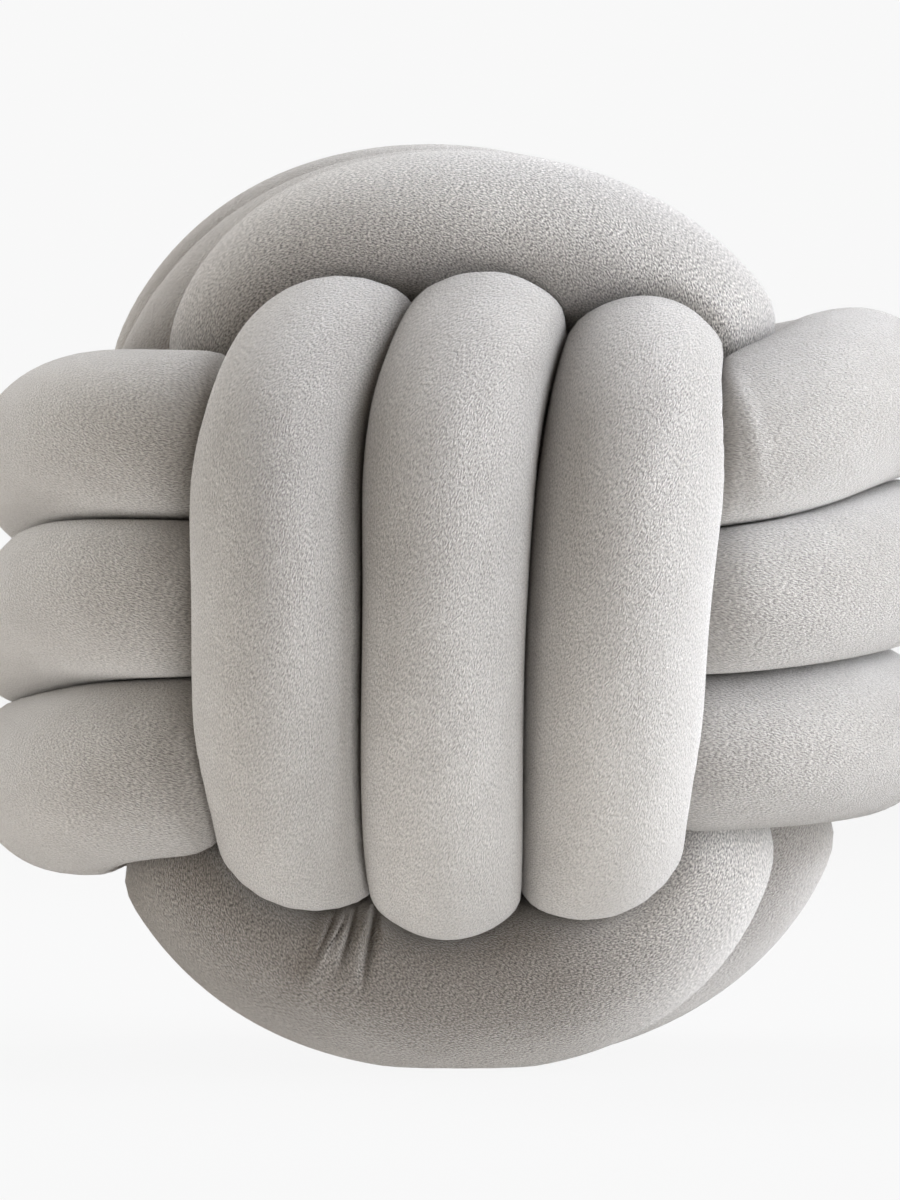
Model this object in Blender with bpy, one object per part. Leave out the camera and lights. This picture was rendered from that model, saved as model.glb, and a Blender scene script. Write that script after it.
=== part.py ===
"""Knot cushion: one long tube of stuffed plush, tied into a three-strand monkey's fist.

The tube goes round the knot nine times, in three bands that cross at right angles:

* the girdle, three strands that lie flat and climb as they go round: it shows on the left and right sides;
* the uprights, three strands from top to bottom: they show on the front and the back, over the girdle;
* the arches, three strands from side to side: they show on the top and the bottom, over the uprights,
  and pass under the girdle on the left and right sides.

Each strand is round where it is free, and flat where it presses on the next one. The knot stands on its
three lower arches, which are flat where they touch the surface.

Lengths in the tables are millimetres from the middle of the knot. The model itself is in metres, +Z up,
with the front towards -Y and the surface at Z = 0.
"""

import math
from collections import namedtuple

import bmesh
import bpy
import numpy as np

MM = 0.001
TUBE_RADIUS = 29.0  # of the stuffed tube where nothing presses on it
SIDE_REACH = 121.0  # from the middle of the knot to the girdle's middle line, on the left and right
MIDDLE_HEIGHT = 137.0  # of the middle of the knot above the surface it stands on

CORE_BULGE = 1.0  # how much further than its radius a strand bulges towards the middle of the knot
GAP = 2.6  # left between strands that press on each other
SHOULDER = 4.0  # over this length a free round turns into a flat pressed side
OVER_SHARE = 0.08  # how much more room a strand takes from one that it crosses over, by their height
STATION_STEP = 12.04  # between cross-sections of the solid
SIDES = 10  # of each cross-section
FAR = 300.0  # stands for no limit at all to a strand's radius
SIDELONG = 0.01  # a stretch of tube seen at less than this slope doesn't press

POINTS_PER_TURN = 250  # of a band, before the middle line is spaced evenly
LINK_POINTS = 25  # of a curve between two bands
LINE_STEP = 2.0  # between points of the middle line
LINE_SOFTNESS = 6.0  # how far a bend in the middle line is spread
RADIUS_SOFTNESS = 12.0  # how far a change of radius is spread
BELL_REACH = 4  # a running average reaches this many times its spread
END_ROUNDING = 0.35  # radius of the last cross-section, as a share of the tube's

# One strand of a band, once round the knot. Each column holds one value for each station of its band:
# along is where the strand lies across the band, out and inn are the half-sizes of its loop on the sides
# where it shows and where it is crossed over, and extra is how much the tube's radius is over TUBE_RADIUS.
Strand = namedtuple("Strand", "along out inn extra")

# A band of strands. Stations are shares of a turn. A loop's corners get squarer with corner, and the
# band runs from turn first to turn last.
Band = namedtuple("Band", "stations strands corner first last")

# Stations: left side, left front, where the uprights begin and end, right front, right side, back.
GIRDLE = Band(
    stations=(0.00, 0.07, 0.13, 0.37, 0.43, 0.50, 0.75),
    strands=(
        Strand(
            along=(-51, -51, -46, -43, -39, -37, -22),
            out=(SIDE_REACH,) * 7,
            inn=(80, 76, 68, 68, 76, 80, 74),
            extra=(1, 0, -1, -6, -4, -3, -1),
        ),
        Strand(
            along=(-8, 4, 4, 3, 10, 16, 29),
            out=(SIDE_REACH,) * 7,
            inn=(80, 76, 68, 68, 76, 80, 74),
            extra=(0, 0, 1, 1, 1, 1, 1),
        ),
        Strand(
            along=(44, 49, 49, 46, 60, 64, 48),
            out=(SIDE_REACH,) * 7,
            inn=(80, 76, 68, 68, 76, 80, 76),
            extra=(0, -1, -2, -1, -1, -1, 0),
        ),
    ),
    corner=5.0,
    first=-0.12,
    last=2.66,
)

# Stations: top, two on the upper shoulder, front, two on the lower shoulder, bottom, back. The right strand
# comes first.
UPRIGHTS = Band(
    stations=(0.03, 0.10, 0.17, 0.25, 0.36, 0.41, 0.46, 0.75),
    strands=(
        Strand(
            along=(55, 54, 51, 45, 39, 31, 27, 24),
            out=(112, 113, 114, 113, 113, 113, 112, 112),
            inn=(57, 56, 66, 72, 66, 67, 67, 74),
            extra=(0, -1, -2, -3, -2, 0, 0, 0),
        ),
        Strand(
            along=(17, 12, -3, -7, -6, -3, 3, -21),
            out=(112, 114, 114, 112, 115, 115, 112, 112),
            inn=(74, 74, 74, 74, 78, 78, 78, 74),
            extra=(2, 3, 0, 0, -1, 0, 0, 1),
        ),
        Strand(
            along=(-22, -28, -52, -54, -48, -36, -30, -67),
            out=(112, 113, 113, 113, 111, 111, 112, 112),
            inn=(70, 71, 73, 74, 64, 65, 65, 76),
            extra=(1, 3, -4, -4, -3, -1, 0, -1),
        ),
    ),
    corner=3.5,
    first=-0.08,
    last=2.82,
)

# Stations: top, two on the upper right, right side, lower right, bottom, lower left, left side, and two on
# the upper left. The back strand comes first, and the front one ends at its lower left, where it goes into
# the knot.
ARCHES = Band(
    stations=(0.00, 0.05, 0.15, 0.25, 0.36, 0.50, 0.66, 0.75, 0.86, 0.92),
    strands=(
        Strand(
            along=(54, 53, 52, 50, 47, 44, 35, 28, 17, 11),
            out=(117, 113, 112, 113, 112, 112, 112, 112, 115, 115.5),
            inn=(88, 88, 86, 85, 85, 85, 88, 90, 92, 92),
            extra=(0, 0, 0, 0, 0, 0, 0, 0, 0, 0),
        ),
        Strand(
            along=(4, 3, 1, 0, -2, -8, -20, -26, -41, -46),
            out=(111, 111, 111, 112, 117, 111, 111, 110, 110, 110),
            inn=(90, 88, 86, 82, 101, 90, 74, 60, 44, 66),
            extra=(1, 0.5, 0, 0, 0, 0, 0, 0, 0, 0),
        ),
        Strand(
            along=(-50, -51, -52, -50, -55, -55, -57, -56, -56, -56),
            out=(108, 108, 110, 109, 111, 110, 113, 109, 109, 109),
            inn=(85, 85, 86, 78, 59, 88, 90, 90, 90, 90),
            extra=(0, 0, 0, 0, 0, 0, 0, 0, 0, 0),
        ),
    ),
    corner=3.0,
    first=-0.12,
    last=2.66,
)

TUBE_START = (-10.0, 30.0, -30.0)  # both ends are tucked into the middle of the knot
TUBE_END = (-30.0, -15.0, 15.0)
TUCK_PULL = 60.0  # how far the girdle's and the arches' directions reach into a tucked end
CORNER_PULL = 72.0  # the same where one band turns into the next

VELVET = (0.62, 0.60, 0.57, 1.0)
VELVET_ROUGHNESS = 0.95


def through(turns, known, values):
    """The smooth curve through values at the known turns, read at turns, and straight past its ends."""
    slopes = np.gradient(values, known)
    piece = np.clip(np.searchsorted(known, turns) - 1, 0, len(known) - 2)
    width = known[piece + 1] - known[piece]
    share = (turns - known[piece]) / width
    before = (1 + 2 * share) * values[piece] + share * width * slopes[piece]
    after = (3 - 2 * share) * values[piece + 1] - (1 - share) * width * slopes[piece + 1]
    curve = (1 - share) ** 2 * before + share**2 * after
    curve = np.where(turns < known[0], values[0] + slopes[0] * (turns - known[0]), curve)
    return np.where(turns > known[-1], values[-1] + slopes[-1] * (turns - known[-1]), curve)


def loop_sizes(band, turns):
    """The columns of a band's strands, one after the other, read at turns."""
    known = np.array([strand + station for strand in range(3) for station in band.stations])
    columns = {}
    for name in Strand._fields:
        values = np.concatenate([getattr(strand, name) for strand in band.strands])
        columns[name] = through(turns, known, values.astype(float))
    return columns


def loops(band, turns, out_angle):
    """A band's strands: their place across the band, out and in of the knot, and the tube's radius."""
    size = loop_sizes(band, turns)
    angle = 2 * math.pi * turns + out_angle
    squeeze = np.abs(np.sin(angle)) ** band.corner
    reach = size["out"] - (size["out"] - size["inn"]) * squeeze
    radius = TUBE_RADIUS + size["extra"]
    return size["along"], reach * np.cos(angle), reach * np.sin(angle), radius


def turns_of(band):
    length = band.last - band.first
    return np.linspace(band.first, band.last, round(length * POINTS_PER_TURN))


def girdle():
    """Counter-clockwise from the left side, seen from above, climbing."""
    along, out, inn, radius = loops(GIRDLE, turns_of(GIRDLE), 0.0)
    return np.stack([-out, -inn, along], axis=1), radius


def uprights():
    """Down the front and up the back, from the top."""
    along, out, inn, radius = loops(UPRIGHTS, turns_of(UPRIGHTS), -math.pi / 2)
    return np.stack([along, -out, -inn], axis=1), radius


def arches():
    """Clockwise from the top, seen from the front."""
    along, out, inn, radius = loops(ARCHES, turns_of(ARCHES), 0.0)
    return np.stack([inn, along, out], axis=1), radius


def unit(vector):
    return vector / np.linalg.norm(vector)


def link(start, start_pull, end, end_pull):
    """A smooth curve between two points, without the points themselves."""
    share = np.linspace(0, 1, LINK_POINTS + 1)[1:-1, None]
    before = (1 + 2 * share) * start + share * start_pull
    after = (3 - 2 * share) * end - (1 - share) * end_pull
    return (1 - share) ** 2 * before + share**2 * after


def even(line, radius):
    """The same line with its points LINE_STEP apart."""
    lengths = np.linalg.norm(np.diff(line, axis=0), axis=1)
    run = np.concatenate([[0.0], np.cumsum(lengths)])
    at = np.linspace(0, run[-1], round(run[-1] / LINE_STEP) + 1)
    points = np.stack([np.interp(at, run, line[:, axis]) for axis in range(3)], axis=1)
    return points, np.interp(at, run, radius)


def softened(values, distance):
    """A running average with a bell-shaped weight, which leaves both ends in place."""
    spread = distance / LINE_STEP
    half = round(BELL_REACH * spread)
    weight = np.exp(-0.5 * (np.arange(-half, half + 1) / spread) ** 2)
    weight /= weight.sum()
    before = 2 * values[0] - values[half:0:-1]
    after = 2 * values[-1] - values[-2 : -half - 2 : -1]
    return np.convolve(np.concatenate([before, values, after]), weight, "valid")


def middle_line():
    """The tube's middle line from end to end, with its radius at each point."""
    bands = [girdle(), uprights(), arches()]
    start, end = np.array(TUBE_START), np.array(TUBE_END)
    pieces = [(start[None], bands[0][1][:1])]

    def add_link(one, one_pull, other, other_pull, radius, other_radius):
        curve = link(one, one_pull, other, other_pull)
        pieces.append((curve, np.linspace(radius, other_radius, len(curve))))

    line, radius = bands[0]
    tuck = TUCK_PULL * unit(line[0] - start)
    add_link(start, tuck, line[0], TUCK_PULL * unit(line[1] - line[0]), radius[0], radius[0])
    for (line, radius), (following, following_radius) in zip(bands, bands[1:]):
        pieces.append((line, radius))
        leave = CORNER_PULL * unit(line[-1] - line[-2])
        arrive = CORNER_PULL * unit(following[1] - following[0])
        add_link(line[-1], leave, following[0], arrive, radius[-1], following_radius[0])
    line, radius = bands[-1]
    pieces.append((line, radius))
    tuck = TUCK_PULL * unit(end - line[-1])
    add_link(line[-1], TUCK_PULL * unit(line[-1] - line[-2]), end, tuck, radius[-1], radius[-1])
    pieces.append((end[None], radius[-1:]))

    line, radius = even(np.vstack([p for p, _ in pieces]), np.concatenate([r for _, r in pieces]))
    line = np.stack([softened(line[:, axis], LINE_SOFTNESS) for axis in range(3)], axis=1)
    return even(line, softened(radius, RADIUS_SOFTNESS))


def frames(line):
    """At each point of the line, the directions away from the middle of the knot and sideways."""
    forward = np.gradient(line, axis=0)
    forward /= np.linalg.norm(forward, axis=1)[:, None]
    away = line - forward * np.sum(line * forward, axis=1)[:, None]
    away /= np.linalg.norm(away, axis=1)[:, None]
    return away, np.cross(forward, away)


def pressed(free, limit):
    """The smaller of a free radius and the distance to a pressed side, with a rounded change."""
    blend = np.maximum(SHOULDER - np.abs(free - limit), 0) / SHOULDER
    return np.minimum(free, limit) - blend**2 * SHOULDER / 4


def rings():
    """Cross-sections of the tube: each point stops about halfway to the nearest other stretch of it."""
    line, radius = middle_line()
    away, sideways = frames(line)
    run = np.arange(len(line)) * LINE_STEP
    stations = np.linspace(0, len(line) - 1, round(run[-1] / STATION_STEP) + 1).astype(int)
    side_angle = 2 * math.pi / SIDES
    angles = (np.arange(SIDES) + 0.5) * side_angle
    outset = math.sqrt(side_angle / math.sin(side_angle))  # gives the flat-sided section a round one's area
    sections = []
    for station in stations:
        directions = np.outer(np.cos(angles), away[station])
        directions += np.outer(np.sin(angles), sideways[station])
        from_end = min(run[station], run[-1] - run[station]) / radius[station]
        rounding = math.sqrt(1 - (1 - from_end) ** 2) if from_end < 1 else 1.0
        bulge = 1 + CORE_BULGE * np.maximum(-np.cos(angles), 0) ** 2
        free = radius[station] * max(rounding, END_ROUNDING) * outset * bulge
        apart = line - line[station]
        distance = np.linalg.norm(apart, axis=1)
        others = np.abs(run - run[station]) > STATION_STEP
        facing = directions @ (apart[others] / distance[others, None]).T
        rise = np.linalg.norm(line[station]) - np.linalg.norm(line[others], axis=1)
        own_share = (distance[others] - GAP) / 2 + OVER_SHARE * rise
        limit = np.where(facing > SIDELONG, own_share / np.maximum(facing, SIDELONG), FAR)
        reach = pressed(free, limit.min(axis=1))
        sections.append(line[station] + reach[:, None] * directions)
    return np.array(sections)


def standing(sections):
    """The sections with the knot on its surface, flat where it touches, and centred over the origin."""
    placed = sections + np.array([0, 0, MIDDLE_HEIGHT])
    placed[..., 2] = np.maximum(placed[..., 2], 0)
    flat = placed.reshape(-1, 3)
    placed[..., :2] -= (flat.min(axis=0) + flat.max(axis=0))[:2] / 2
    return placed


def loft(name, sections):
    """One closed body through the sections, with a flat cap on each end."""
    shape = bmesh.new()
    corners = [[shape.verts.new(point) for point in section] for section in sections * MM]
    for ring, following in zip(corners, corners[1:]):
        for side in range(SIDES):
            beside = (side + 1) % SIDES
            shape.faces.new((ring[side], ring[beside], following[beside], following[side]))
    shape.faces.new(corners[0])
    shape.faces.new(corners[-1])
    bmesh.ops.recalc_face_normals(shape, faces=shape.faces)
    mesh = bpy.data.meshes.new(name)
    shape.to_mesh(mesh)
    shape.free()
    mesh.shade_smooth()
    return mesh


def velvet():
    material = bpy.data.materials.new("velvet")
    material.use_nodes = True
    shader = material.node_tree.nodes["Principled BSDF"]
    shader.inputs["Base Color"].default_value = VELVET
    shader.inputs["Roughness"].default_value = VELVET_ROUGHNESS
    return material


def main():
    for old in list(bpy.data.objects):
        bpy.data.objects.remove(old)
    collection = bpy.data.collections.new("knot_cushion")
    bpy.context.scene.collection.children.link(collection)
    mesh = loft("knot_tube", standing(rings()))
    mesh.materials.append(velvet())
    collection.objects.link(bpy.data.objects.new("knot_tube", mesh))


main()
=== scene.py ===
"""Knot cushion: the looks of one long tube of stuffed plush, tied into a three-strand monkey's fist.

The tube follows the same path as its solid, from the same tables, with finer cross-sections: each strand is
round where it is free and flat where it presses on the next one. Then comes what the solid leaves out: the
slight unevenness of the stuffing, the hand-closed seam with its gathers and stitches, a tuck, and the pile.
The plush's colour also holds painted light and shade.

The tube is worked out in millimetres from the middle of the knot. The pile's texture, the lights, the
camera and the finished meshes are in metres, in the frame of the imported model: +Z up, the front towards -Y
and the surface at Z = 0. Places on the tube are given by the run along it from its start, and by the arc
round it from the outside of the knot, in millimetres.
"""

import math
from collections import namedtuple

import bmesh
import bpy
import numpy as np
from mathutils import Matrix, Vector, noise


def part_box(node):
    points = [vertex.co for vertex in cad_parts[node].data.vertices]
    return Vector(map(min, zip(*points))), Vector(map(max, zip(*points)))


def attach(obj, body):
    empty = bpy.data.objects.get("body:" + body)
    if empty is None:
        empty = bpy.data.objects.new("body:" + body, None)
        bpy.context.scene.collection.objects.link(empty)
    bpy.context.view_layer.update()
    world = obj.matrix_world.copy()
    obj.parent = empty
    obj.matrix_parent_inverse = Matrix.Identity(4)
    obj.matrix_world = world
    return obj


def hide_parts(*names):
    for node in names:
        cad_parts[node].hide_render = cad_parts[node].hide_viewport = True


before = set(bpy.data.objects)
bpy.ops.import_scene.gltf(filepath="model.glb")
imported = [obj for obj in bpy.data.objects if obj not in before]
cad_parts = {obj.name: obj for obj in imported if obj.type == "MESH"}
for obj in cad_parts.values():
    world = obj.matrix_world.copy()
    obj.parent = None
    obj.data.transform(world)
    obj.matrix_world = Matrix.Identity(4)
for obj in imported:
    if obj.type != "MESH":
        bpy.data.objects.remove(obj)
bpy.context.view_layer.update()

MM = 0.001
TUBE_RADIUS = 29.0  # of the stuffed tube where nothing presses on it
SIDE_REACH = 121.0  # from the middle of the knot to the girdle's middle line, on the left and right
MIDDLE_HEIGHT = 137.0  # of the middle of the knot above the surface it stands on

CORE_BULGE = 1.0  # how much further than its radius a strand bulges towards the middle of the knot
GAP = 0.4  # left between strands that press on each other
SHOULDER = 3.0  # over this length a free round turns into a flat pressed side
OVER_SHARE = 0.08  # how much more room a strand takes from one that it crosses over, by their height
STATION_STEP = 3.3  # between cross-sections
FOLD_STEP = 0.5  # the same where the plush is folded
SIDES = 50  # of each cross-section
OUTER_SHARE = 0.45  # how much closer the sides lie on the outside of the knot than on the inside
FAR = 300.0  # stands for no limit at all to a strand's radius
SIDELONG = 0.01  # a stretch of tube seen at less than this slope doesn't press
ALONG_ROUNDS = 4  # of evening out the cross-sections along the tube
ROUND_ROUNDS = 2  # and round it
CLEAR_RUN = 12.0  # a stretch of tube doesn't press on itself within this length
ALONG_EVENING = 6.0  # a larger number evens out the cross-sections less in each round, along the tube
ROUND_EVENING = 6.0  # and round it

POINTS_PER_TURN = 250  # of a band, before the middle line is spaced evenly
LINK_POINTS = 25  # of a curve between two bands
LINE_STEP = 2.0  # between points of the middle line
LINE_SOFTNESS = 6.0  # how far a bend in the middle line is spread
RADIUS_SOFTNESS = 12.0  # how far a change of radius is spread
BELL_REACH = 4  # a running average reaches this many times its spread
END_ROUNDING = 0.35  # radius of the last cross-section, as a share of the tube's

# One strand of a band, once round the knot. Each column holds one value for each station of its band:
# along is where the strand lies across the band, out and inn are the half-sizes of its loop on the sides
# where it shows and where it is crossed over, and extra is how much the tube's radius is over TUBE_RADIUS.
Strand = namedtuple("Strand", "along out inn extra")

# A band of strands. Stations are shares of a turn. A loop's corners get squarer with corner, and the
# band runs from turn first to turn last.
Band = namedtuple("Band", "stations strands corner first last")

# Stations: left side, left front, where the uprights begin and end, right front, right side, back.
GIRDLE = Band(
    stations=(0.00, 0.07, 0.13, 0.37, 0.43, 0.50, 0.75),
    strands=(
        Strand(
            along=(-51, -51, -46, -43, -39, -37, -22),
            out=(SIDE_REACH,) * 7,
            inn=(80, 76, 68, 68, 76, 80, 74),
            extra=(1, 0, -1, -6, -4, -3, -1),
        ),
        Strand(
            along=(-8, 4, 4, 3, 10, 16, 29),
            out=(SIDE_REACH,) * 7,
            inn=(80, 76, 68, 68, 76, 80, 74),
            extra=(0, 0, 1, 1, 1, 1, 1),
        ),
        Strand(
            along=(44, 49, 49, 46, 60, 64, 48),
            out=(SIDE_REACH,) * 7,
            inn=(80, 76, 68, 68, 76, 80, 76),
            extra=(0, -1, -2, -1, -1, -1, 0),
        ),
    ),
    corner=5.0,
    first=-0.12,
    last=2.66,
)

# Stations: top, two on the upper shoulder, front, two on the lower shoulder, bottom, back. The right strand
# comes first.
UPRIGHTS = Band(
    stations=(0.03, 0.10, 0.17, 0.25, 0.36, 0.41, 0.46, 0.75),
    strands=(
        Strand(
            along=(55, 54, 51, 45, 39, 31, 27, 24),
            out=(112, 113, 114, 113, 113, 113, 112, 112),
            inn=(57, 56, 66, 72, 66, 67, 67, 74),
            extra=(0, -1, -2, -3, -2, 0, 0, 0),
        ),
        Strand(
            along=(17, 12, -3, -7, -6, -3, 3, -21),
            out=(112, 114, 114, 112, 115, 115, 112, 112),
            inn=(74, 74, 74, 74, 78, 78, 78, 74),
            extra=(2, 3, 0, 0, -1, 0, 0, 1),
        ),
        Strand(
            along=(-22, -28, -52, -54, -48, -36, -30, -67),
            out=(112, 113, 113, 113, 111, 111, 112, 112),
            inn=(70, 71, 73, 74, 64, 65, 65, 76),
            extra=(1, 3, -4, -4, -3, -1, 0, -1),
        ),
    ),
    corner=3.5,
    first=-0.08,
    last=2.82,
)

# Stations: top, two on the upper right, right side, lower right, bottom, lower left, left side, and two on
# the upper left. The back strand comes first, and the front one ends at its lower left, where it goes into
# the knot.
ARCHES = Band(
    stations=(0.00, 0.05, 0.15, 0.25, 0.36, 0.50, 0.66, 0.75, 0.86, 0.92),
    strands=(
        Strand(
            along=(54, 53, 52, 50, 47, 44, 35, 28, 17, 11),
            out=(117, 113, 112, 113, 112, 112, 112, 112, 115, 115.5),
            inn=(88, 88, 86, 85, 85, 85, 88, 90, 92, 92),
            extra=(0, 0, 0, 0, 0, 0, 0, 0, 0, 0),
        ),
        Strand(
            along=(4, 3, 1, 0, -2, -8, -20, -26, -41, -46),
            out=(111, 111, 111, 112, 117, 111, 111, 110, 110, 110),
            inn=(90, 88, 86, 82, 101, 90, 74, 60, 44, 66),
            extra=(1, 0.5, 0, 0, 0, 0, 0, 0, 0, 0),
        ),
        Strand(
            along=(-50, -51, -52, -50, -55, -55, -57, -56, -56, -56),
            out=(108, 108, 110, 109, 111, 110, 113, 109, 109, 109),
            inn=(85, 85, 86, 78, 59, 88, 90, 90, 90, 90),
            extra=(0, 0, 0, 0, 0, 0, 0, 0, 0, 0),
        ),
    ),
    corner=3.0,
    first=-0.12,
    last=2.66,
)

TUBE_START = (-10.0, 30.0, -30.0)  # both ends are tucked into the middle of the knot
TUBE_END = (-30.0, -15.0, 15.0)
TUCK_PULL = 60.0  # how far the girdle's and the arches' directions reach into a tucked end
CORNER_PULL = 72.0  # the same where one band turns into the next

UNEVEN = 0.6  # how far the stuffing lifts or lets down the plush
UNEVEN_LENGTH = 55.0  # size of one such rise or hollow, along the tube
UNEVEN_WIDTH = 32.0  # and round it

# A fold in the plush is a ridge, or with a height below zero a groove. It goes round the tube from one arc
# to another, where it lies at two places along the tube, and it fades out at both ends.
Fold = namedtuple("Fold", "start_run start_arc end_run end_arc width height")

# The hand-closed seam lies in a groove at the bottom of the front arch, below the left upright.
SEAM = Fold(5806.2, 48.5, 5810.3, 30.0, 0.45, -1.3)

# The seam with the gathers round it, and the tuck in the high girdle strand, beside the right upright.
FOLDS = (
    Fold(5811.2, 52.0, 5810.8, 23.0, 0.8, -1.9),
    Fold(5809.3, 53.0, 5810.4, 21.0, 0.9, 1.3),
    SEAM,
    Fold(5806.7, 51.5, 5806.0, 29.0, 0.8, 0.9),
    Fold(5805.9, 57.0, 5803.2, 26.0, 0.8, -2.6),
    Fold(5802.9, 57.0, 5798.9, 20.0, 1.4, 1.0),
    Fold(5799.6, 62.0, 5795.2, 22.0, 0.9, -3.3),
    Fold(5796.1, 59.0, 5792.3, 26.0, 2.0, 0.7),
    Fold(1861.5, -24.0, 1860.0, 46.0, 3.5, -1.8),  # the tuck's groove
    Fold(1869.6, -24.0, 1866.3, 30.0, 1.5, 0.8),  # and the ridge to the right of it
)
FOLD_FADE = 0.45  # share of a fold's length over which it comes up and goes down
FINE_RUNS = ((1854.0, 1874.0), (5788.0, 5817.0))  # stretches of the tube with closer cross-sections

STITCH_STEP = 1.25  # between the seam's stitches
STITCH_LENGTH = 0.8
STITCH_RADIUS = 0.24
STITCH_RISE = 0.5  # out of the bottom of the groove
STITCHED = (0.27, 0.78)  # shares of the groove between which it is stitched
STITCH_LOOK = 0.02  # share of the groove on both sides of a stitch over which its direction is taken
STITCH_SEARCH = 12.0  # cross-sections within this run of the seam's start are enough to place the stitches

# How light the plush looks along the tube: partly the nap of the pile, partly painted light and shade, such
# as painted shade on the bottom of the front arch and painted highlights on the uprights' lower ends. Each
# row is a stretch, with its tone where it starts and where it ends. The tone changes evenly there, and from
# the end of one row to the start of the next.
NapAndShade = namedtuple("NapAndShade", "start end tone end_tone")
NAP_AND_SHADE_ROWS = (
    NapAndShade(200, 300, 0.80, 0.95),  # low girdle strand, from the left side to the left front
    # painted light on the low girdle strand beside the uprights
    NapAndShade(360, 500, 1.10, 0.80),  # from behind the uprights to the right side
    NapAndShade(900, 1000, 0.85, 0.90),  # middle girdle strand, from the left side to the left front
    # painted light on the middle girdle strand beside the right upright
    NapAndShade(1120, 1240, 1.10, 0.70),  # from behind the right upright to the right side
    NapAndShade(1620, 1720, 0.75, 0.95),  # high girdle strand, from the left side to the left front
    # painted light on the high girdle strand beside the right upright
    NapAndShade(1820, 1940, 1.15, 0.80),  # from behind the right upright to the right side
    NapAndShade(2180, 2300, 0.90, 1.05),  # right upright, from under the arches to its upper front
    # painted highlight on the right upright's lower end
    NapAndShade(2400, 2440, 1.40, 1.40),  # its lower end
    NapAndShade(2920, 2980, 0.95, 1.10),  # middle upright, from its top to its middle height
    # painted highlight on the middle upright's lower end
    NapAndShade(3030, 3080, 1.30, 1.35),  # its lower end
    NapAndShade(3300, 3540, 1.10, 1.00),  # from the back, under the arches, to the left upright's top
    # painted highlight on the left upright's lower end
    NapAndShade(3660, 3720, 1.15, 1.35),  # its lower end
    # painted shade in the creases between the arches, at the upper left
    NapAndShade(4080, 4120, 0.65, 0.70),  # back arch, at the upper left
    NapAndShade(4160, 4260, 1.05, 1.05),  # on top, and down its right side
    # painted shade in the creases between the arches, at the upper left
    NapAndShade(4600, 4760, 0.75, 0.65),  # middle arch, up the left side
    NapAndShade(4800, 4880, 1.00, 1.00),  # on top
    NapAndShade(5040, 5100, 0.70, 0.70),  # and at the lower right
    NapAndShade(5380, 5390, 0.80, 0.80),  # front arch, at the upper left
    NapAndShade(5460, 5620, 1.15, 1.05),  # on top and down the right side
    NapAndShade(5660, 5670, 1.20, 1.20),  # at the lower right
    NapAndShade(5700, 5710, 0.90, 0.85),  # below the uprights, on the right
    # painted shade on the bottom of the front arch, below the uprights, where their shadow falls
    NapAndShade(5740, 5972, 0.55, 0.45),  # and from the bottom to the left and the tube's end
)
DARKEST_TONE, LIGHTEST_TONE = 0.4, 1.4  # tones at which the plush has its darkest and its lightest colour

# Spots that make the plush lighter or darker, by their tone. Besides two finger marks, most of them are
# painted light and shade: painted shade beside creases, along the tuck and above and below the uprights,
# and painted light on the front arch's rim, on the seam's lips and beside the creases between the uprights.
# A spot has soft edges, and it is centred on a place along the tube and round it.
Brush = namedtuple("Brush", "run arc length width tone")
PAINTED_LIGHT_AND_MARKS = (
    # painted shade on the low girdle strand's underside and upper side, beside its creases
    Brush(255, 20, 40, 7, -0.20),  # underside of the low girdle strand, on the left
    Brush(265, -35, 15, 7, -0.15),  # and its upper side
    Brush(955, 5, 5, 5, -0.08),  # finger mark on the middle girdle strand
    # painted light beside the uprights
    Brush(1000, 0, 7, 18, 0.15),  # light band on it, beside the uprights
    Brush(1665, 30, 7, 5, -0.07),  # finger mark on the high girdle strand
    # painted shade along the tuck's groove
    Brush(1860, 10, 5, 25, -0.06),  # along the tuck
    # painted light on the uprights' sides beside the creases between them, and painted shade on the right
    # upright's right side
    Brush(2265, 35, 35, 10, 0.20),  # right upright, left side of its top
    Brush(2350, -20, 70, 7, -0.10),  # and its right side
    Brush(2990, 20, 45, 5, 0.10),  # left side of the middle upright
    Brush(3570, -35, 30, 6, 0.20),  # left upright, right side of its top
    Brush(3605, -10, 20, 8, -0.12),  # and its front
    # painted shade beside the creases between the arches
    Brush(4080, 30, 40, 5, -0.25),  # beside the creases between the arches, at the upper left
    Brush(4720, 35, 30, 7, -0.20),
    Brush(5400, 15, 25, 14, -0.12),  # front arch, at the upper left
    # painted highlight on the front arch's rim
    Brush(5450, 5, 50, 13, 0.25),  # its rim
    # painted shade above the uprights
    Brush(5470, 40, 50, 8, -0.20),  # above the uprights
    Brush(5700, 10, 25, 16, 0.10),  # the same arch at the lower right
    # painted shade below the uprights
    Brush(5765, 45, 60, 5, -0.15),  # below the uprights
    # painted highlight on the seam's lips, and painted shade in the dip beside them
    Brush(5808, 38, 1.5, 9, 0.20),  # lips of the seam
    Brush(5813, 33, 2.5, 12, -0.12),  # and the dip beside them
    Brush(5840, 5, 15, 7, 0.15),  # at the lower left
)

# How strongly the tufts show at places along the tube: a run from its start, and what TUFT_CONTRAST is
# multiplied by there.
RUFFLED = (
    (0, 1.00), (1700, 0.95), (1850, 0.70), (2000, 0.70), (2150, 1.00), (2330, 1.00), (2390, 0.70),
    (2460, 0.80), (2900, 1.00), (3000, 0.85), (3040, 0.70), (3120, 0.80), (3500, 1.00), (3640, 0.85),
    (3690, 0.70), (3800, 0.90), (4100, 1.20), (4800, 1.20), (5300, 1.30), (5400, 1.60), (5560, 1.70),
    (5700, 1.60), (5972, 1.60),
)
TUFT_CONTRAST = 0.42  # how much lighter or darker than the nap a tuft is
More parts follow.
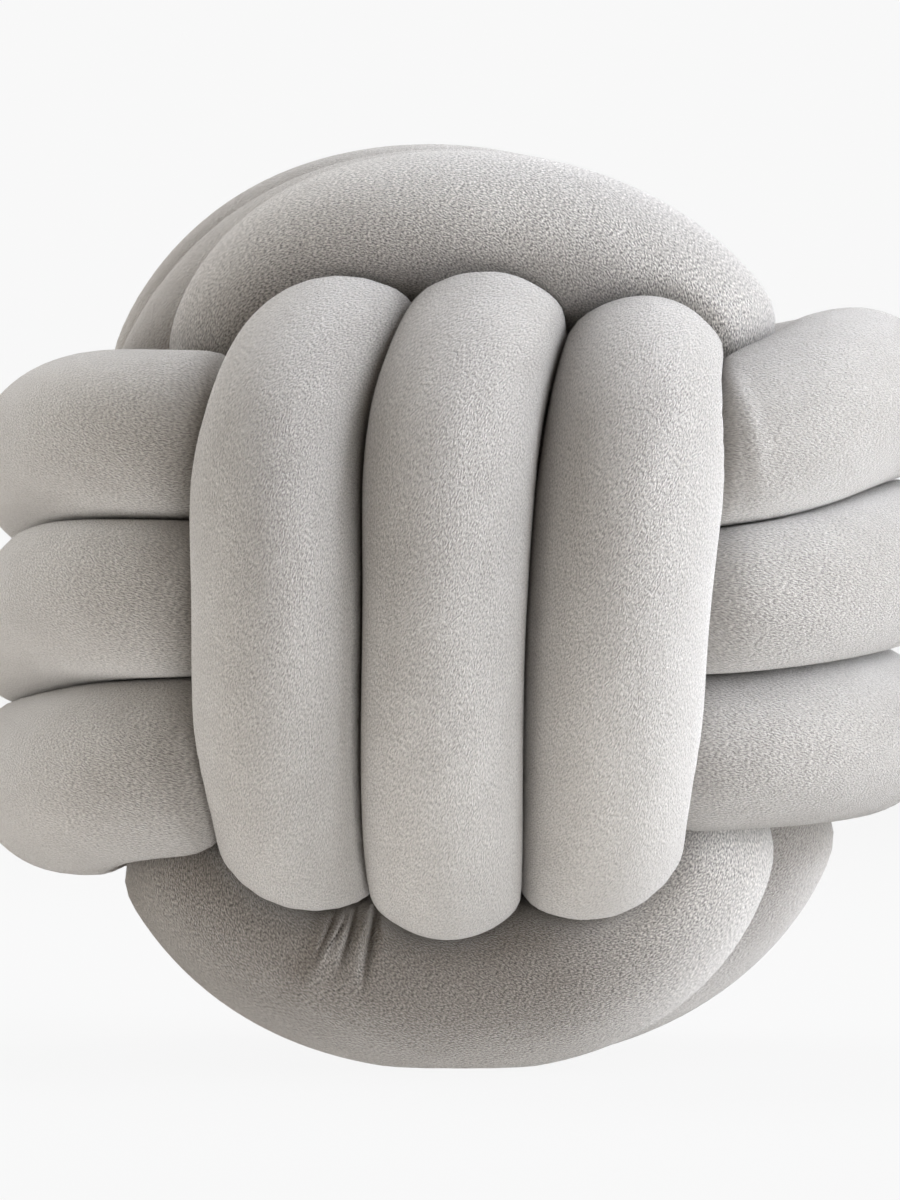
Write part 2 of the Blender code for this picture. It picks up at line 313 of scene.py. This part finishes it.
# The two ends of the tone's colour: the warmer dark end is plush in painted shade, the light end plush in
# painted light.
DARK_PLUSH_AND_SHADE = (0.200, 0.176, 0.152)  # colour of the plush at the dark end of the nap
LIGHT_PLUSH_AND_HIGHLIGHT = (0.726, 0.705, 0.682)  # and at its light end

# A layer of noise in the pile: the length and width of its tufts or patches in metres, the angle between
# their length and the tube's run in radians, and how many finer layers it has and how strong they are.
Grain = namedtuple("Grain", "length width lean detail roughness")
TUFTS = Grain(0.00085, 0.0004, 0.5, 2.0, 0.6)
PATCHES = Grain(0.016, 0.011, 0.3, 3.0, 0.6)  # pressed by a hand
SWATHES = Grain(0.070, 0.040, 0.1, 1.0, 0.5)  # where the nap changes slowly
PATCH_TONES = (0.965, 1.035)  # the nap is multiplied by a number from this range
SWATHE_TONES = (0.96, 1.04)
PATCH_RELIEF = 0.5  # how far a patch lifts the pile, as a share of TUFT_HEIGHT
NOISE_LOW, NOISE_HIGH = 0.3, 0.7  # values of the noise that become the two ends of a range
TUFT_HEIGHT = 0.0010  # metres

CAMERA_PLACE = (-0.004, -1.9, 0.1392)
CAMERA_LENS = 185.3
LIGHT_SIZE = 1.0  # metres
LIGHT_DISTANCE = 1.8  # metres from the middle of the knot
WORLD_COLOUR, WORLD_STRENGTH = (1, 0.877, 0.754, 1), 0.2
FLOOR_SIZE, FLOOR_GLOW, FLOOR_PAINT = 16, 0.91, 0.02  # the size in metres
BACKDROP_RADIUS, BACKDROP_GLOW = 14, 0.94  # the radius in metres


def through(turns, known, values):
    """The smooth curve through values at the known turns, read at turns, and straight past its ends."""
    slopes = np.gradient(values, known)
    piece = np.clip(np.searchsorted(known, turns) - 1, 0, len(known) - 2)
    width = known[piece + 1] - known[piece]
    share = (turns - known[piece]) / width
    before = (1 + 2 * share) * values[piece] + share * width * slopes[piece]
    after = (3 - 2 * share) * values[piece + 1] - (1 - share) * width * slopes[piece + 1]
    curve = (1 - share) ** 2 * before + share**2 * after
    curve = np.where(turns < known[0], values[0] + slopes[0] * (turns - known[0]), curve)
    return np.where(turns > known[-1], values[-1] + slopes[-1] * (turns - known[-1]), curve)


def loop_sizes(band, turns):
    """The columns of a band's strands, one after the other, read at turns."""
    known = np.array([strand + station for strand in range(3) for station in band.stations])
    columns = {}
    for name in Strand._fields:
        values = np.concatenate([getattr(strand, name) for strand in band.strands])
        columns[name] = through(turns, known, values.astype(float))
    return columns


def loops(band, turns, out_angle):
    """A band's strands: their place across the band, out and in of the knot, and the tube's radius."""
    size = loop_sizes(band, turns)
    angle = 2 * math.pi * turns + out_angle
    squeeze = np.abs(np.sin(angle)) ** band.corner
    reach = size["out"] - (size["out"] - size["inn"]) * squeeze
    radius = TUBE_RADIUS + size["extra"]
    return size["along"], reach * np.cos(angle), reach * np.sin(angle), radius


def turns_of(band):
    length = band.last - band.first
    return np.linspace(band.first, band.last, round(length * POINTS_PER_TURN))


def girdle():
    """Counter-clockwise from the left side, seen from above, climbing."""
    along, out, inn, radius = loops(GIRDLE, turns_of(GIRDLE), 0.0)
    return np.stack([-out, -inn, along], axis=1), radius


def uprights():
    """Down the front and up the back, from the top."""
    along, out, inn, radius = loops(UPRIGHTS, turns_of(UPRIGHTS), -math.pi / 2)
    return np.stack([along, -out, -inn], axis=1), radius


def arches():
    """Clockwise from the top, seen from the front."""
    along, out, inn, radius = loops(ARCHES, turns_of(ARCHES), 0.0)
    return np.stack([inn, along, out], axis=1), radius


def unit(vector):
    return vector / np.linalg.norm(vector)


def link(start, start_pull, end, end_pull):
    """A smooth curve between two points, without the points themselves."""
    share = np.linspace(0, 1, LINK_POINTS + 1)[1:-1, None]
    before = (1 + 2 * share) * start + share * start_pull
    after = (3 - 2 * share) * end - (1 - share) * end_pull
    return (1 - share) ** 2 * before + share**2 * after


def even(line, radius):
    """The same line with its points LINE_STEP apart."""
    lengths = np.linalg.norm(np.diff(line, axis=0), axis=1)
    run = np.concatenate([[0.0], np.cumsum(lengths)])
    at = np.linspace(0, run[-1], round(run[-1] / LINE_STEP) + 1)
    points = np.stack([np.interp(at, run, line[:, axis]) for axis in range(3)], axis=1)
    return points, np.interp(at, run, radius)


def softened(values, distance):
    """A running average with a bell-shaped weight, which leaves both ends in place."""
    spread = distance / LINE_STEP
    half = round(BELL_REACH * spread)
    weight = np.exp(-0.5 * (np.arange(-half, half + 1) / spread) ** 2)
    weight /= weight.sum()
    before = 2 * values[0] - values[half:0:-1]
    after = 2 * values[-1] - values[-2 : -half - 2 : -1]
    return np.convolve(np.concatenate([before, values, after]), weight, "valid")


def middle_line():
    """The tube's middle line from end to end, with its radius at each point."""
    bands = [girdle(), uprights(), arches()]
    start, end = np.array(TUBE_START), np.array(TUBE_END)
    pieces = [(start[None], bands[0][1][:1])]

    def add_link(one, one_pull, other, other_pull, radius, other_radius):
        curve = link(one, one_pull, other, other_pull)
        pieces.append((curve, np.linspace(radius, other_radius, len(curve))))

    line, radius = bands[0]
    tuck = TUCK_PULL * unit(line[0] - start)
    add_link(start, tuck, line[0], TUCK_PULL * unit(line[1] - line[0]), radius[0], radius[0])
    for (line, radius), (following, following_radius) in zip(bands, bands[1:]):
        pieces.append((line, radius))
        leave = CORNER_PULL * unit(line[-1] - line[-2])
        arrive = CORNER_PULL * unit(following[1] - following[0])
        add_link(line[-1], leave, following[0], arrive, radius[-1], following_radius[0])
    line, radius = bands[-1]
    pieces.append((line, radius))
    tuck = TUCK_PULL * unit(end - line[-1])
    add_link(line[-1], TUCK_PULL * unit(line[-1] - line[-2]), end, tuck, radius[-1], radius[-1])
    pieces.append((end[None], radius[-1:]))

    line, radius = even(np.vstack([p for p, _ in pieces]), np.concatenate([r for _, r in pieces]))
    line = np.stack([softened(line[:, axis], LINE_SOFTNESS) for axis in range(3)], axis=1)
    return even(line, softened(radius, RADIUS_SOFTNESS))


def frames(line):
    """At each point of the line, the directions away from the middle of the knot and sideways."""
    forward = np.gradient(line, axis=0)
    forward /= np.linalg.norm(forward, axis=1)[:, None]
    away = line - forward * np.sum(line * forward, axis=1)[:, None]
    away /= np.linalg.norm(away, axis=1)[:, None]
    return away, np.cross(forward, away)


def pressed(free, limit):
    """The smaller of a free radius and the distance to a pressed side, with a rounded change."""
    blend = np.maximum(SHOULDER - np.abs(free - limit), 0) / SHOULDER
    return np.minimum(free, limit) - blend**2 * SHOULDER / 4


def side_angles():
    """Angles round a cross-section, from the outside of the knot, closer together there."""
    even_angles = (np.arange(SIDES) + 0.5) * 2 * math.pi / SIDES
    return even_angles - OUTER_SHARE * np.sin(even_angles)


def unevenness(run, angles, radius):
    """How much further out than a plain round the plush lies at one cross-section."""
    lifts = []
    for angle in angles:
        across = radius * math.cos(angle) / UNEVEN_WIDTH
        deep = radius * math.sin(angle) / UNEVEN_WIDTH
        lifts.append(noise.noise(Vector((run / UNEVEN_LENGTH, across, deep))))
    return UNEVEN * np.array(lifts)


def places(length):
    """Where the cross-sections are along the tube: evenly spaced, and closer together in the fine runs."""
    at = np.linspace(0, length, round(length / STATION_STEP) + 1)
    for start, end in FINE_RUNS:
        fine = np.arange(start, end, FOLD_STEP)
        at = np.concatenate([at[at < start - FOLD_STEP], fine, at[at > end]])
    return at


def fold_lift(run, arc):
    """How far the folds lift the plush at each place on the tube."""
    lift = np.zeros(run.shape)
    for fold in FOLDS:
        share = (arc - fold.start_arc) / (fold.end_arc - fold.start_arc)
        apart = run - (fold.start_run + (fold.end_run - fold.start_run) * share)
        fade = np.clip(np.minimum(share, 1 - share) / FOLD_FADE, 0, 1)
        lift += fold.height * np.exp(-0.5 * (apart / fold.width) ** 2) * fade**2 * (3 - 2 * fade)
    return lift


def rings():
    """Cross-sections of the tube, and each point's place in the pile: along the tube and round it."""
    line, radius = middle_line()
    away, sideways = frames(line)
    run = np.arange(len(line)) * LINE_STEP
    stations = places(run[-1]) / LINE_STEP
    angles = side_angles()
    reaches, middles, spokes, piles = [], [], [], []
    for station in stations:
        at = min(int(station), len(line) - 2)
        share = station - at
        after = at + 1
        middle = line[at] + share * (line[after] - line[at])
        out = unit(away[at] + share * (away[after] - away[at]))
        side = unit(sideways[at] + share * (sideways[after] - sideways[at]))
        here = station * LINE_STEP
        size = radius[at] + share * (radius[after] - radius[at])
        directions = np.outer(np.cos(angles), out) + np.outer(np.sin(angles), side)
        from_end = min(here, run[-1] - here) / size
        rounding = math.sqrt(1 - (1 - from_end) ** 2) if from_end < 1 else 1.0
        bulge = 1 + CORE_BULGE * np.maximum(-np.cos(angles), 0) ** 2
        free = size * max(rounding, END_ROUNDING) * bulge + unevenness(here, angles, size)
        apart = line - middle
        distance = np.linalg.norm(apart, axis=1)
        others = np.abs(run - here) > CLEAR_RUN
        facing = directions @ (apart[others] / distance[others, None]).T
        rise = np.linalg.norm(middle) - np.linalg.norm(line[others], axis=1)
        own_share = distance[others] / 2 + OVER_SHARE * rise
        half_way = own_share - GAP / 2
        limit = np.where(facing > SIDELONG, half_way / np.maximum(facing, SIDELONG), FAR)
        reaches.append(pressed(free, limit.min(axis=1)))
        middles.append(middle)
        spokes.append(directions)
        round_it = np.where(angles > math.pi, angles - 2 * math.pi, angles)
        piles.append(np.stack([np.full(SIDES, here), round_it * size, np.full(SIDES, 0.0)], axis=1))
    reach = np.array(reaches)
    for _ in range(ALONG_ROUNDS):
        reach[1:-1] += (reach[:-2] + reach[2:] - 2 * reach[1:-1]) / ALONG_EVENING
    for _ in range(ROUND_ROUNDS):
        reach += (np.roll(reach, 1, axis=1) + np.roll(reach, -1, axis=1) - 2 * reach) / ROUND_EVENING
    piles = np.array(piles)
    reach += fold_lift(piles[..., 0], piles[..., 1])
    return np.array(middles)[:, None] + reach[..., None] * np.array(spokes), piles


def standing(sections):
    """The sections with the knot on its surface, flat where it touches, under the middle of its solid."""
    placed = sections + np.array([0, 0, MIDDLE_HEIGHT])
    placed[..., 2] = np.maximum(placed[..., 2], 0)
    flat = placed.reshape(-1, 3)
    low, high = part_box("knot_tube")
    solid_middle = (np.array(low) + np.array(high)) / 2 / MM
    placed[..., :2] += (solid_middle - (flat.min(axis=0) + flat.max(axis=0)) / 2)[:2]
    return placed


def nap_and_shade_tones(run, arc):
    """How light the plush looks at places on the tube: the nap with its painted light and shade, and the
    spots.
    """
    stops = [stop for row in NAP_AND_SHADE_ROWS for stop in (row.start, row.end)]
    tones = [tone for row in NAP_AND_SHADE_ROWS for tone in (row.tone, row.end_tone)]
    nap_and_shade = np.interp(run, stops, tones)
    for painted_spot in PAINTED_LIGHT_AND_MARKS:
        apart = ((run - painted_spot.run) / painted_spot.length) ** 2 + ((arc - painted_spot.arc) / painted_spot.width) ** 2
        nap_and_shade += painted_spot.tone * np.exp(-0.5 * apart)
    return nap_and_shade


def loft(name, sections, piles):
    """One closed body through the sections, with its ends closed and the pile's place on each vertex."""
    count = len(sections)
    vertices = np.vstack([sections.reshape(-1, 3), sections[0].mean(axis=0), sections[-1].mean(axis=0)])
    side = np.arange(SIDES)
    beside = (side + 1) % SIDES
    faces = []
    for ring in range(count - 1):
        low, high = ring * SIDES, (ring + 1) * SIDES
        faces += np.stack([low + side, low + beside, high + beside, high + side], axis=1).tolist()
    first, last = count * SIDES, count * SIDES + 1
    last_ring = (count - 1) * SIDES
    faces += [(first, int(b), int(a)) for a, b in zip(side, beside)]
    faces += [(last, int(last_ring + a), int(last_ring + b)) for a, b in zip(side, beside)]
    mesh = bpy.data.meshes.new(name)
    mesh.from_pydata((vertices * MM).tolist(), [], faces)
    pile = np.vstack([piles.reshape(-1, 3), piles[0, :1], piles[-1, :1]])
    run, arc = pile[:, 0], pile[:, 1]
    ruffle = np.interp(run, *zip(*RUFFLED))
    mesh.attributes.new("pile", "FLOAT_VECTOR", "POINT").data.foreach_set("vector", (pile * MM).ravel())
    # The tone of each vertex, which also paints light and shade into the plush's colour.
    mesh.attributes.new("nap_and_shade", "FLOAT", "POINT").data.foreach_set("value", nap_and_shade_tones(run, arc))
    mesh.attributes.new("ruffle", "FLOAT", "POINT").data.foreach_set("value", ruffle)
    mesh.shade_smooth()
    piece = bpy.data.objects.new(name, mesh)
    bpy.context.scene.collection.objects.link(piece)
    return piece


def plush():
    """Short-pile plush: fine tufts that lean one way, pressed patches and slow swathes in the nap, and the
    tone of each vertex, which also paints light and shade.
    """
    material = bpy.data.materials.new("plush")
    material.use_nodes = True
    nodes, links = material.node_tree.nodes, material.node_tree.links
    shader = nodes["Principled BSDF"]
    shader.inputs["Roughness"].default_value = 0.85
    shader.inputs["Specular IOR Level"].default_value = 0.15
    shader.inputs["Sheen Weight"].default_value = 1.0
    shader.inputs["Sheen Roughness"].default_value = 0.35
    shader.inputs["Sheen Tint"].default_value = (1.0, 0.99, 0.98, 1)

    pile = nodes.new("ShaderNodeAttribute")
    pile.attribute_name = "pile"

    def noise_of(grain):
        """The noise of one grain, spread over the pile."""
        mapping = nodes.new("ShaderNodeMapping")
        mapping.vector_type = "TEXTURE"
        mapping.inputs["Rotation"].default_value = (0, 0, grain.lean)
        mapping.inputs["Scale"].default_value = (grain.length, grain.width, 1)
        links.new(pile.outputs["Vector"], mapping.inputs["Vector"])
        texture = nodes.new("ShaderNodeTexNoise")
        texture.noise_dimensions = "2D"
        texture.inputs["Scale"].default_value = 1.0
        texture.inputs["Detail"].default_value = grain.detail
        texture.inputs["Roughness"].default_value = grain.roughness
        links.new(mapping.outputs["Vector"], texture.inputs["Vector"])
        return texture.outputs["Fac"]

    def ranged(value, low, high):
        """Noise spread over a range, and cut off at both ends of it."""
        node = nodes.new("ShaderNodeMapRange")
        node.inputs["From Min"].default_value = NOISE_LOW
        node.inputs["From Max"].default_value = NOISE_HIGH
        node.inputs["To Min"].default_value = low
        node.inputs["To Max"].default_value = high
        links.new(value, node.inputs["Value"])
        return node.outputs["Result"]

    def joined(operation, one, other):
        node = nodes.new("ShaderNodeMath")
        node.operation = operation
        links.new(one, node.inputs[0])
        links.new(other, node.inputs[1])
        return node.outputs["Value"]

    tufts = noise_of(TUFTS)
    patches = noise_of(PATCHES)
    swathes = noise_of(SWATHES)

    # The tone of each vertex: the nap, with painted light and shade.
    nap_and_shade = nodes.new("ShaderNodeAttribute")
    nap_and_shade.attribute_name = "nap_and_shade"
    nap_shade_and_patches = joined("MULTIPLY", nap_and_shade.outputs["Fac"], ranged(patches, *PATCH_TONES))
    nap_shade_and_patches = joined("MULTIPLY", nap_shade_and_patches, ranged(swathes, *SWATHE_TONES))
    lightness = nodes.new("ShaderNodeMapRange")
    lightness.inputs["From Min"].default_value = DARKEST_TONE
    lightness.inputs["From Max"].default_value = LIGHTEST_TONE
    links.new(nap_shade_and_patches, lightness.inputs["Value"])
    colour = nodes.new("ShaderNodeMix")
    colour.data_type = "RGBA"
    colour.inputs["A"].default_value = (*DARK_PLUSH_AND_SHADE, 1)
    colour.inputs["B"].default_value = (*LIGHT_PLUSH_AND_HIGHLIGHT, 1)
    links.new(lightness.outputs["Result"], colour.inputs["Factor"])
    ruffle = nodes.new("ShaderNodeAttribute")
    ruffle.attribute_name = "ruffle"
    grain = joined("MULTIPLY", ruffle.outputs["Fac"], ranged(tufts, -TUFT_CONTRAST, TUFT_CONTRAST))
    grained = nodes.new("ShaderNodeVectorMath")
    grained.operation = "MULTIPLY_ADD"
    links.new(colour.outputs["Result"], grained.inputs[0])
    links.new(grain, grained.inputs[1])
    links.new(colour.outputs["Result"], grained.inputs[2])
    links.new(grained.outputs["Vector"], shader.inputs["Base Color"])

    relief = joined("ADD", tufts, ranged(patches, 0.0, PATCH_RELIEF))
    bump = nodes.new("ShaderNodeBump")
    bump.inputs["Strength"].default_value = 1.0
    bump.inputs["Distance"].default_value = TUFT_HEIGHT
    links.new(relief, bump.inputs["Height"])
    links.new(bump.outputs["Normal"], shader.inputs["Normal"])
    return material


def camera():
    """In front of the knot, about level with its middle, with a long lens."""
    data = bpy.data.cameras.new("camera")
    data.lens = CAMERA_LENS
    data.clip_end = 100
    view = bpy.data.objects.new("camera", data)
    view.location = CAMERA_PLACE
    view.rotation_euler = (math.pi / 2, 0, 0)
    bpy.context.scene.collection.objects.link(view)
    bpy.context.scene.camera = view


def soft_light(name, azimuth, elevation, energy, colour):
    """A square panel that faces the knot, at an azimuth to the right of the front."""
    data = bpy.data.lights.new(name, "AREA")
    data.energy = energy
    data.size = LIGHT_SIZE
    data.color = colour
    lamp = bpy.data.objects.new(name, data)
    target = Vector((0, 0, MIDDLE_HEIGHT * MM))
    turn, rise = math.radians(azimuth), math.radians(elevation)
    out = Vector((math.sin(turn) * math.cos(rise), -math.cos(turn) * math.cos(rise), math.sin(rise)))
    lamp.location = target + LIGHT_DISTANCE * out
    lamp.rotation_euler = out.to_track_quat("Z", "Y").to_euler()
    lamp.visible_camera = False
    bpy.context.scene.collection.objects.link(lamp)


def glowing(name, glow, paint):
    """A plain material that mostly glows, so that it stays pale."""
    material = bpy.data.materials.new(name)
    material.use_nodes = True
    shader = material.node_tree.nodes["Principled BSDF"]
    shader.inputs["Base Color"].default_value = (paint, paint, paint, 1)
    shader.inputs["Roughness"].default_value = 1.0
    shader.inputs["Specular IOR Level"].default_value = 0.0
    shader.inputs["Emission Color"].default_value = (1, 1, 1, 1)
    shader.inputs["Emission Strength"].default_value = glow
    return material


def staged(name, material):
    """Names the last made object and gives it its material. It is seen, but gives the knot no light and no
    shade.
    """
    piece = bpy.context.object
    piece.name = name
    piece.data.materials.append(material)
    for ray in ("diffuse", "glossy", "transmission", "volume_scatter", "shadow"):
        setattr(piece, "visible_" + ray, False)


def studio():
    """Large soft lights round the knot, a dim warm world and a pale stage."""
    scene = bpy.context.scene
    scene.view_settings.view_transform = "Standard"
    world = bpy.data.worlds.new("studio")
    scene.world = world
    world.use_nodes = True
    background = world.node_tree.nodes["Background"]
    background.inputs["Color"].default_value = WORLD_COLOUR
    background.inputs["Strength"].default_value = WORLD_STRENGTH
    soft_light("right", 90, 10, 22, (0.92, 0.95, 1.00))
    soft_light("key", 62, 16, 15, (0.90, 0.93, 1.00))
    soft_light("low_right", 68, -13, 12, (0.91, 0.96, 1.00))
    soft_light("high_right", 84, 43, 27, (0.89, 0.93, 1.00))
    soft_light("low_front", 20, -30, 14, (1.00, 0.99, 0.98))
    soft_light("back_top", 180, 60, 24, (0.96, 0.97, 1.00))
    soft_light("high_left", -117, 38, 24, (0.94, 0.97, 1.00))
    soft_light("left", -90, -15, 16, (1.00, 0.99, 0.98))
    soft_light("back_left", -100, 13, 10, (1.00, 0.96, 0.88))
    soft_light("low_left", -60, -20, 7, (1.00, 0.97, 0.91))
    bpy.ops.mesh.primitive_plane_add(size=FLOOR_SIZE)
    staged("floor", glowing("floor", FLOOR_GLOW, FLOOR_PAINT))
    bpy.ops.mesh.primitive_uv_sphere_add(segments=48, ring_count=24, radius=BACKDROP_RADIUS)
    staged("backdrop", glowing("backdrop", BACKDROP_GLOW, 0.0))


def stitches(sections, piles):
    """Short threads along the seam, each a slim spindle that lies in its groove."""
    near = np.abs(piles[:, 0, 0] - SEAM.start_run) < STITCH_SEARCH
    rows, runs, arcs = sections[near], piles[near, 0, 0], piles[near, :, 1]

    def on_tube(share):
        """The place on the plush at a share of the seam's length."""
        run = SEAM.start_run + (SEAM.end_run - SEAM.start_run) * share
        arc = SEAM.start_arc + (SEAM.end_arc - SEAM.start_arc) * share
        before = np.searchsorted(runs, run) - 1
        between = (run - runs[before]) / (runs[before + 1] - runs[before])
        ends = []
        for at in (before, before + 1):
            order = np.argsort(arcs[at])
            around, points = arcs[at, order], rows[at, order]
            ends.append(np.array([np.interp(arc, around, points[:, axis]) for axis in range(3)]))
        return ends[0] + between * (ends[1] - ends[0])

    first, last = STITCHED
    count = round(np.linalg.norm(on_tube(last) - on_tube(first)) / STITCH_STEP)
    shape = bmesh.new()
    for stitch in range(count):
        share = first + (last - first) * (stitch + 0.5) / count
        centre = Vector(on_tube(share))
        centre += STITCH_RISE * (centre - Vector((0, 0, MIDDLE_HEIGHT))).normalized()
        along = Vector(on_tube(share + STITCH_LOOK) - on_tube(share - STITCH_LOOK)).normalized()
        turn = along.to_track_quat("Z", "Y").to_matrix().to_4x4()
        size = Matrix.Diagonal((STITCH_RADIUS, STITCH_RADIUS, STITCH_LENGTH / 2, 1))
        spindle = Matrix.Scale(MM, 4) @ (Matrix.Translation(centre) @ turn @ size)
        bmesh.ops.create_icosphere(shape, subdivisions=2, radius=1, matrix=spindle)
    mesh = bpy.data.meshes.new("seam_stitches")
    shape.to_mesh(mesh)
    shape.free()
    mesh.shade_smooth()
    piece = bpy.data.objects.new("seam_stitches", mesh)
    bpy.context.scene.collection.objects.link(piece)
    return piece


def thread():
    """Dark sewing thread, with bands of two shades for its twist."""
    material = bpy.data.materials.new("thread")
    material.use_nodes = True
    nodes, links = material.node_tree.nodes, material.node_tree.links
    shader = nodes["Principled BSDF"]
    shader.inputs["Roughness"].default_value = 0.7
    twist = nodes.new("ShaderNodeTexWave")
    twist.inputs["Scale"].default_value = 900.0
    shades = nodes.new("ShaderNodeMix")
    shades.data_type = "RGBA"
    shades.inputs["A"].default_value = (0.035, 0.031, 0.028, 1)
    shades.inputs["B"].default_value = (0.075, 0.066, 0.060, 1)
    place = nodes.new("ShaderNodeTexCoord")
    links.new(place.outputs["Object"], twist.inputs["Vector"])
    links.new(twist.outputs["Fac"], shades.inputs["Factor"])
    links.new(shades.outputs["Result"], shader.inputs["Base Color"])
    return material


def main():
    sections, piles = rings()
    sections = standing(sections)
    knot = loft("knot", sections, piles)
    knot.data.materials.append(plush())
    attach(knot, "root")
    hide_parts("knot_tube")
    seam = stitches(sections, piles)
    seam.data.materials.append(thread())
    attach(seam, "root")
    studio()
    camera()


main()
